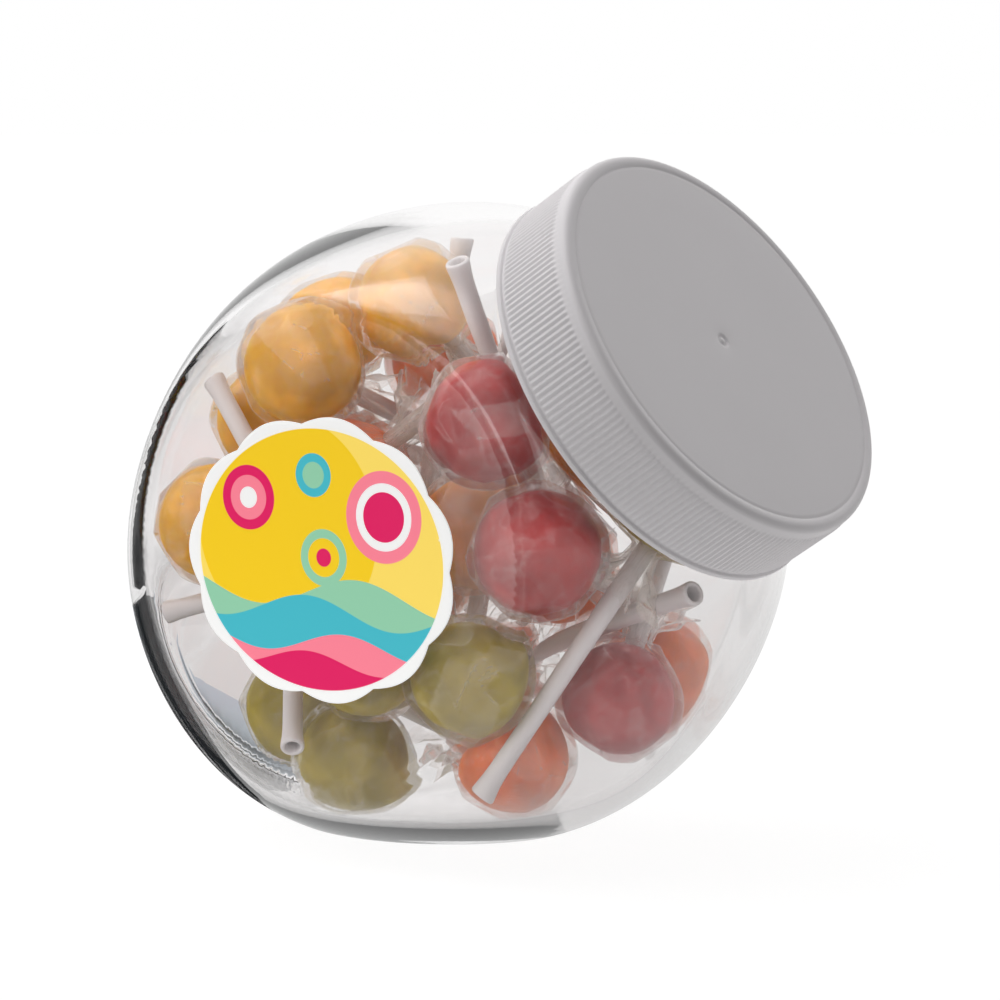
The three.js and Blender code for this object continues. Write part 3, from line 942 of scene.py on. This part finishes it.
class Pleats:
    """The folds where a film is gathered."""

    def __init__(self, random):
        self.folds = int(random.integers(9, 13))
        self.phase, self.lean = random.uniform(0, TAU, 2)

    def depth(self, angle, along):
        """Sharp folds round the neck, from -1 to 1, that wander a little along it."""
        wander = angle * self.folds + self.phase + 0.7 * np.sin(2 * angle + self.lean)
        wander = wander + 0.5 * np.sin(3 * angle + along * 0.8)
        return 1 - 2 * np.abs(np.sin(wander / 2)) ** 0.7

    def ragged(self, random, turn):
        """How far the film's edge comes short of its mean height, or stands over it."""
        slow, quick = np.sin(turn * 5 + self.phase), np.sin(turn * 13 + self.lean)
        return 1.2 * slow + 0.8 * quick + random.normal(size=len(turn)) * 0.25

    def streaks(self, around):
        return np.clip(np.sin(around * 17 + 2 * np.sin(around * 5 + self.lean) + self.phase), 0, 1)


def film_neck(pleats, ragged, rim, bare):
    """Rings from the film's last ring round the sweet, through its neck, to its flared edge, and
    how far out each point lies on its fold."""
    turn = turns(FILM_COLUMNS)
    radius, height = np.hypot(rim[:, 0], rim[:, 1]), rim[:, 2]
    rings, tones = [], []
    for to_radius, over_sweet, fold_depth, steps in FILM_NECK:
        is_edge = over_sweet == FILM_NECK[-1][1]
        to_height = bare + over_sweet + ragged * is_edge
        spread = to_radius * (1 + fold_depth * pleats.depth(turn, over_sweet))
        for part in np.arange(1, steps + 1) / steps:
            eased = part * part * (3 - 2 * part)
            ring_height = height + (to_height - height) * part
            rings.append(circled(radius + (spread - radius) * eased, turn, ring_height))
            tones.append(np.clip(0.5 + 0.5 * pleats.depth(turn, over_sweet), 0, 1))
        radius, height = spread, to_height
    return np.array(rings), np.array(tones).reshape(-1)


def film_mesh(lollipop, gap):
    """Clear film pulled round a sweet in flat facets, gathered into a neck and flared."""
    random = np.random.default_rng(FILM_SEED + lollipop.seed)
    bare = lollipop.radius - SWEET_INSET
    turn = turns(FILM_COLUMNS)
    rows = np.linspace(FILM_BALL_START, FILM_BALL_END, FILM_BALL_ROWS)
    direction = grid_directions(rows, FILM_COLUMNS, -1)
    smooth, tone, crease = film_facets(random, direction, bare, gap)

    polar = np.arccos(np.clip(-direction[:, 2], -1, 1))
    pleats = Pleats(random)
    depth = pleats.depth(np.tile(turn, FILM_BALL_ROWS), 0)
    closing = np.clip((polar - FILM_CLOSING) / (FILM_BALL_END - FILM_CLOSING), 0, 1)
    smooth = smooth + 0.5 * closing ** 2 * (depth + 0.6)
    ball = direction * smooth[:, None]
    crease = np.maximum(crease, closing ** 2 * np.clip(depth, 0, 1))

    rim = ball.reshape(FILM_BALL_ROWS, FILM_COLUMNS, 3)[-1]
    neck, neck_tone = film_neck(pleats, pleats.ragged(random, turn), rim, bare)
    total_rows = FILM_BALL_ROWS + len(neck)
    points = np.vstack((ball, neck.reshape(-1, 3), [(0, 0, -(bare + 0.3))]))
    faces = [*ring_faces(total_rows, FILM_COLUMNS),
             *cap_faces(total_rows * FILM_COLUMNS, 0, FILM_COLUMNS, flip=True)]

    # The film laid out flat again, in millimetres from its middle.
    neck_along = bare * FILM_BALL_END + neck[:, :, 2] - rim[:, 2]
    along = np.concatenate((bare * polar, neck_along.reshape(-1), [0]))
    around = np.concatenate((np.tile(turn, total_rows), [0]))
    sheet = circled(along, around, 0)[:, :2]
    crease = np.concatenate((crease, neck_tone ** 3, [0]))
    facet = np.concatenate((tone, neck_tone, [0.5]))
    gathered = np.concatenate((closing ** 3, np.ones(len(neck_tone)), [0]))
    # Pale streaks that run out from the neck are painted highlights, added to the milkiness.
    streaks = pleats.streaks(around) * np.clip(along / bare - 1.2, 0, 1)
    milky = film_milkiness_and_glints(random, sheet, facet, crease, gathered) + 0.8 * streaks
    return kept_inside(lollipop.to_world(points)), faces, {"milky": milky}


def film_milkiness_and_glints(random, sheet, facet, crease, gathered):
    """How milky each point of the film is: some facets and panes, their folds, and the neck, with painted
    highlights on the palest panes and in streaks from the neck.
    """
    pane, fold = film_panes(random, sheet, FILM_PANE)
    small_pane, small_fold = film_panes(random, sheet, FILM_SMALL_PANE)
    # Panes over 0.88 are made the palest: painted highlights where the film would mirror a lamp.
    flat = 0.6 * (facet > 0.45) + 0.9 * (pane > 0.55) + 2.4 * (pane > 0.88) + 0.6 * (small_pane > 0.7)
    lines = (1.6 * fold + 1.0 * small_fold + 1.4 * crease) * (0.3 + 0.9 * (small_pane > 0.4))
    return flat + lines + gathered * (0.6 + 1.5 * small_fold)


def film_material(flavour, tone, milkiness):
    """Clear film, milky where its attribute says, with painted highlights where that is palest; tinged in its
    milky parts with its sweet's colour, a painted reflection of the sweet.
    """
    material, graph = new_material(f"film_{flavour}")
    milky = graph.attribute("milky")
    facing = graph.node("ShaderNodeLayerWeight", None, {"Blend": 0.35}, output="Facing")
    haze = milkiness * milky + (facing ** 6) * FILM_GRAZING
    clear = graph.node("ShaderNodeBsdfTransparent", None, {"Color": (0.985, 0.98, 0.975, 1)})
    # The milky parts take a little of the sweet's colour: a painted reflection of the sweet on the film.
    white_and_sweet_reflection = opaque((1 - FILM_SWEET_REFLECTION) * plain + FILM_SWEET_REFLECTION * level for plain, level in zip(FILM_PLAIN, tone))
    lit = graph.node("ShaderNodeBsdfDiffuse", None, {"Color": white_and_sweet_reflection})
    backlit = graph.node("ShaderNodeBsdfTranslucent", None, {"Color": white_and_sweet_reflection})
    veil = graph.blend(haze, clear, graph.blend(0.5, lit, backlit))
    gloss = graph.node("ShaderNodeBsdfGlossy", None, {"Color": (0.95, 0.95, 0.95, 1), "Roughness": 0.08})
    edge = graph.node("ShaderNodeFresnel", None, {"IOR": 1.42})
    graph.end(graph.blend(edge * 0.6, veil, gloss))
    return material


class OBJECT_OT_make_film(bpy.types.Operator):
    """Make the clear film wrapped and gathered round each sweet"""
    bl_idname = "lollipop_jar.make_film"
    bl_label = "Make Film Wraps"
    bl_options = {'REGISTER', 'UNDO'}

    def execute(self, context):
        settings = context.scene.lollipop_jar.lollipops
        for flavour in FLAVOURS:
            material = film_material(flavour, getattr(settings, flavour), settings.film_haze)
            wraps = [film_mesh(lollipop, settings.film_gap / MM) for lollipop in lollipops_of(flavour)]
            points, faces, attributes = joined(wraps)
            piece = new_object(f"film_{flavour}", points, faces, material, attributes)
            piece.visible_shadow = False  # thin clear film casts next to no shadow
            finish_piece(piece, f"candy_{flavour}")
        return {'FINISHED'}


STICK_RADIUS = 2.0
STICK_HOLE = 1.3
STICK_FLARE = 2.4
STICK_COLUMNS = 28
STICK_START = 6.0  # inside the sweet


def stick_mesh(lollipop):
    """A hollow stick with a slightly flared, rounded free end."""
    end = lollipop.stick_length
    lip = (STICK_FLARE - STICK_HOLE - 0.2) / 2
    outer = [(STICK_RADIUS, STICK_START), (STICK_RADIUS, 20), (STICK_RADIUS, 40), (STICK_RADIUS, end - 7),
             (STICK_RADIUS + 0.03, end - 5), (STICK_RADIUS + 0.14, end - 3), (STICK_FLARE - 0.06, end - 1.4)]
    rim = arc(STICK_FLARE - lip, end - lip, lip, 0, 180, 7)
    inner = [(STICK_HOLE + 0.1, end - 2), (STICK_HOLE, end - 4), (STICK_HOLE, STICK_START)]
    rings = np.array(outer + rim + inner)
    grid = circled(rings[:, :1], turns(STICK_COLUMNS), rings[:, 1:])
    # The last ring, inside the bore, joins the first one again.
    faces = ring_faces(len(rings) + 1, STICK_COLUMNS) % (len(rings) * STICK_COLUMNS)
    return lollipop.to_world(grid.reshape(-1, 3)), faces, {}


def stick_material(settings):
    return moulded_plastic("stick_plastic", settings.stick, (0.9, 9), (0.34, 0.2, 0.6), 0.4)


class OBJECT_OT_make_sticks(bpy.types.Operator):
    """Make the hollow plastic sticks"""
    bl_idname = "lollipop_jar.make_sticks"
    bl_label = "Make Sticks"
    bl_options = {'REGISTER', 'UNDO'}

    def execute(self, context):
        lollipops = all_lollipops()
        points, faces, _ = joined([stick_mesh(lollipop) for lollipop in lollipops])
        piece = new_object("sticks", points, faces, stick_material(context.scene.lollipop_jar.lollipops))
        finish_piece(piece, "stick_plastic", *[lollipop.stick_node for lollipop in lollipops])
        return {'FINISHED'}


# ---- stage --------------------------------------------------------------------------------

FLOOR_RADIUS = 3.0
FLOOR_DROP = 0.0002
FLOOR_COLUMNS = 96
FLOOR_SWEEP = (70, 600, 0.72, 1.05)  # its glow near the jar and far from it, and those distances
# Reflections lose this share of the glow in front of the jar and none of it behind, and they start
# to lose it between two distances from the jar.
FLOOR_DIM_AHEAD = (-200, 200, 0.9, 0)
FLOOR_DIM_AWAY = (120, 220)
FLOOR_GLOW = (0.7, 0.12, 0.3)  # share that glows, and what the camera's and mirrored rays add
FLOOR_SEEN = 1.12  # brightness that the camera sees
CARD_DIMMEST = 0.03  # share of a fading card's shine at its dim end
CARD_TONE = (0.8, 0.9, 1.0)
CARD_END = math.radians(85)  # both dark cards end at this angle to the left of the view
FLOOR_CARD_START = math.radians(20)
FLOOR_CARD_REACH = (45, 300)  # its near and far distance from the jar's middle
FLOOR_CARD_SHINE = 0.6
FLOOR_CARD_FADE = (-35, 0)
UPRIGHT_CARD_START = math.radians(40)
UPRIGHT_CARD_DISTANCE = 300
UPRIGHT_CARD_HEIGHT = 200
UPRIGHT_CARD_SHINE = 0.01
PANEL_CARD_DISTANCE = 350
PANEL_CARD_EDGES = (-180, 84)  # how far it reaches to either side of the way it faces
PANEL_CARD_HEIGHT = 220
PANEL_CARD_SHINE = 1.7
PANEL_CARD_FADE = (15, 84)
# Bright parts of the room as [direction, cosine of its full width, cosine where it ends].
WINDOW = ((-0.57, -0.80, -0.05), 0.93, 0.84)
OVERHEAD = ((-0.3, -0.3, 0.9), 0.96, 0.88)
BEHIND = ((-0.58, 0.81, 0.0), 0.7, -0.3)
# Lamps as [name, place, size, power, whether the glass mirrors it], in metres and watts.
LAMPS = (
    ("overhead_softbox", (-0.35, -0.25, 0.95), (0.5, 0.5), 1.0, True),
    ("front_softbox", (0.9, -0.7, 0.7), (0.4, 0.6), 1.2, True),
    ("left_fill", (-0.55, -0.85, 0.12), (0.5, 0.5), 2.6, False),
)
CAMERA_LENS = 165.39
CAMERA_SENSOR = 36.0
CAMERA_SHIFT = (0.0421, 0.0306)


def room_world(settings):
    """A white background for the camera, and a softly uneven room for everything else."""
    world = bpy.data.worlds.new("studio")
    world.use_nodes = True
    graph = Graph(world.node_tree)
    way = graph.node("ShaderNodeTexCoord", output="Generated")
    up = graph.node("ShaderNodeSeparateXYZ", None, {0: way}, output="Z")

    def towards(direction, narrow, wide):
        """1 inside a cone about a direction, 0 outside a wider one."""
        return graph.between(graph.along(way, Vector(direction).normalized()), wide, narrow)

    window = towards(*WINDOW)
    overhead = towards(*OVERHEAD)
    behind = towards(*BEHIND)
    matt = settings.ambient * (graph.between(up, -0.6, 0.9, 0.75, 1.25) + 0.6 * behind)
    matt = matt + 0.6 * window + 0.8 * overhead
    gloss = 0.10 + 1.5 * overhead + 0.85 * behind
    through = graph.between(up, -0.5, -0.05, 0.6, 1.0) * (0.74 + 0.26 * behind) + 2.0 * overhead
    mirrored, passed = graph.ray("Is Reflection Ray"), graph.ray("Is Transmission Ray")
    seen = graph.ray("Is Camera Ray")
    strength = matt * (1 - mirrored) + gloss * mirrored
    strength = strength * (1 - passed) + through * passed
    strength = strength * (1 - seen) + settings.backdrop * seen
    light = graph.node("ShaderNodeBackground", None, {"Color": (1, 1, 1, 1), "Strength": strength})
    graph.end(light, "ShaderNodeOutputWorld")
    bpy.context.scene.world = world


def make_floor(settings):
    """The pale ground, which glows a little, and which reflections see dimmer in front."""
    ring = circled(FLOOR_RADIUS / MM, turns(FLOOR_COLUMNS), -FLOOR_DROP / MM)
    points = np.vstack((ring, [(0, 0, -FLOOR_DROP / MM)]))
    material, graph = new_material("floor_white")
    matt = graph.node("ShaderNodeBsdfDiffuse", None, {"Color": (0.82, 0.81, 0.80, 1)})
    seen, mirrored = graph.ray("Is Camera Ray"), graph.ray("Is Reflection Ray")
    away = graph.node("ShaderNodeVectorMath", {"operation": "LENGTH"}, {0: graph.place()}, output="Value")
    ahead = graph.along(graph.place(), (-math.sin(settings.azimuth), math.cos(settings.azimuth), 0))
    dim = graph.between(ahead, *FLOOR_DIM_AHEAD) * graph.between(away, *FLOOR_DIM_AWAY)
    sweep = graph.between(away, *FLOOR_SWEEP) * (1 - mirrored * dim)
    glow = graph.node("ShaderNodeEmission", None,
                      {"Color": (1, 1, 1, 1), "Strength": seen * FLOOR_SEEN + (1 - seen) * sweep})
    share_of_glow, seen_more, mirrored_more = FLOOR_GLOW
    graph.end(graph.blend(share_of_glow + seen * seen_more + mirrored * mirrored_more, matt, glow))
    floor = new_object("floor", points, cap_faces(FLOOR_COLUMNS, 0, FLOOR_COLUMNS), material)


def make_card(name, corners, tone, shine, fade=None):
    """A card that only the glass and its reflections see; corners in millimetres. A fade gives a
    direction, and two places along it between which the card goes from dim to its full shine."""
    material, graph = new_material(name)
    if fade:
        axis, low, high = fade
        shine = graph.between(graph.along(graph.place(), axis), low, high, CARD_DIMMEST * shine, shine)
    graph.end(graph.node("ShaderNodeEmission", None, {"Color": opaque(tone), "Strength": shine}))
    card = new_object(name, corners, [(0, 1, 2, 3)], material)
    card.visible_camera = False
    card.visible_diffuse = False
    card.visible_shadow = False


def make_cards(settings):
    """Dark cards upright and on the floor, left of the camera's view, and a bright one that the
    front panel mirrors."""

    def spot(turn, distance, height):
        """A point at an angle to the left of the camera's forward direction."""
        way = settings.azimuth + math.pi / 2 + turn
        return (math.cos(way) * distance, math.sin(way) * distance, height)

    def make_sector(name, start, near, far, low, high, shine, fade=None):
        corners = [spot(start, near, low), spot(CARD_END, near, low), spot(CARD_END, far, high),
                   spot(start, far, high)]
        make_card(name, corners, CARD_TONE, shine, fade)

    make_sector("upright_card", UPRIGHT_CARD_START, UPRIGHT_CARD_DISTANCE, UPRIGHT_CARD_DISTANCE,
                0, UPRIGHT_CARD_HEIGHT, UPRIGHT_CARD_SHINE)
    # The one on the floor goes from the floor's own brightness to dark away from its near side.
    inward = spot(FLOOR_CARD_START - math.pi / 2, 1, 0)
    make_sector("floor_card", FLOOR_CARD_START, *FLOOR_CARD_REACH, 1, 1, FLOOR_CARD_SHINE,
                (inward, *FLOOR_CARD_FADE))
    away = np.array((-math.sin(settings.azimuth), -math.cos(settings.azimuth), 0)) * PANEL_CARD_DISTANCE
    side = np.array((math.cos(settings.azimuth), -math.sin(settings.azimuth), 0))
    left, right = (away + side * edge for edge in PANEL_CARD_EDGES)
    top = (0, 0, PANEL_CARD_HEIGHT)
    make_card("panel_card", [left, right, right + top, left + top], (1.0, 0.98, 0.96), PANEL_CARD_SHINE,
              (side, *PANEL_CARD_FADE))


def make_softbox(name, place, size, power, mirrored):
    """An area lamp that points at the middle of the body."""
    light = bpy.data.lights.new(name, 'AREA')
    light.shape = 'RECTANGLE'
    light.size, light.size_y = size
    light.energy = power
    lamp = bpy.data.objects.new(name, light)
    lamp.location = place
    lamp.rotation_euler = (Vector((0, 0, FOOT_DROP * MM)) - Vector(place)).to_track_quat('-Z', 'Y').to_euler()
    lamp.visible_glossy = mirrored
    bpy.context.scene.collection.objects.link(lamp)


def make_camera(settings):
    middle = Vector((0, 0, FOOT_DROP * MM))
    level = math.cos(settings.elevation)
    away = Vector((math.sin(settings.azimuth) * level, -math.cos(settings.azimuth) * level,
                   math.sin(settings.elevation)))
    data = bpy.data.cameras.new("camera")
    data.lens = CAMERA_LENS
    data.sensor_width = CAMERA_SENSOR
    data.shift_x, data.shift_y = CAMERA_SHIFT
    camera = bpy.data.objects.new("camera", data)
    camera.location = middle + away * settings.distance
    camera.rotation_euler = (-away).to_track_quat('-Z', 'Y').to_euler()
    bpy.context.scene.collection.objects.link(camera)
    bpy.context.scene.camera = camera


class SCENE_OT_make_jar_studio(bpy.types.Operator):
    """Make the pale floor, the soft studio light and the camera"""
    bl_idname = "lollipop_jar.make_studio"
    bl_label = "Make Studio"
    bl_options = {'REGISTER', 'UNDO'}

    def execute(self, context):
        settings = context.scene.lollipop_jar.studio
        room_world(settings)
        make_floor(settings)
        make_cards(settings)
        for lamp in LAMPS:
            make_softbox(*lamp)
        make_camera(settings)
        context.scene.view_settings.view_transform = 'Standard'
        # Light that runs along inside the glass is mirrored many times before it comes out.
        context.scene.cycles.max_bounces = 16
        context.scene.cycles.glossy_bounces = 12
        context.scene.cycles.transmission_bounces = 16
        return {'FINISHED'}


# ---- panel, registration and running --------------------------------------------------------


class VIEW3D_PT_lollipop_jar(bpy.types.Panel):
    """Lists the jar's pieces"""
    bl_label = "Lollipop Jar"
    bl_idname = "VIEW3D_PT_lollipop_jar"
    bl_space_type = 'VIEW_3D'
    bl_region_type = 'UI'
    bl_category = "Lollipop Jar"

    def draw(self, context):
        for operator in OPERATORS:
            self.layout.operator(operator.bl_idname)


OPERATORS = (OBJECT_OT_make_jar_glass, OBJECT_OT_make_jar_lid, OBJECT_OT_make_jar_sticker,
             OBJECT_OT_make_sweets, OBJECT_OT_make_film, OBJECT_OT_make_sticks, SCENE_OT_make_jar_studio)
CLASSES = (GlassSettings, LidSettings, StickerSettings, LollipopSettings, StudioSettings, JarSettings,
           *OPERATORS, VIEW3D_PT_lollipop_jar)


def register():
    for cls in CLASSES:
        bpy.utils.register_class(cls)
    bpy.types.Scene.lollipop_jar = PointerProperty(type=JarSettings)


def unregister():
    del bpy.types.Scene.lollipop_jar
    for cls in reversed(CLASSES):
        bpy.utils.unregister_class(cls)


def main():
    register()
    bpy.ops.lollipop_jar.make_glass()
    bpy.ops.lollipop_jar.make_lid()
    bpy.ops.lollipop_jar.make_sticker()
    bpy.ops.lollipop_jar.make_sweets()
    bpy.ops.lollipop_jar.make_film()
    bpy.ops.lollipop_jar.make_sticks()
    bpy.ops.lollipop_jar.make_studio()
    bpy.context.view_layer.update()


if __name__ == "__main__":
    main()
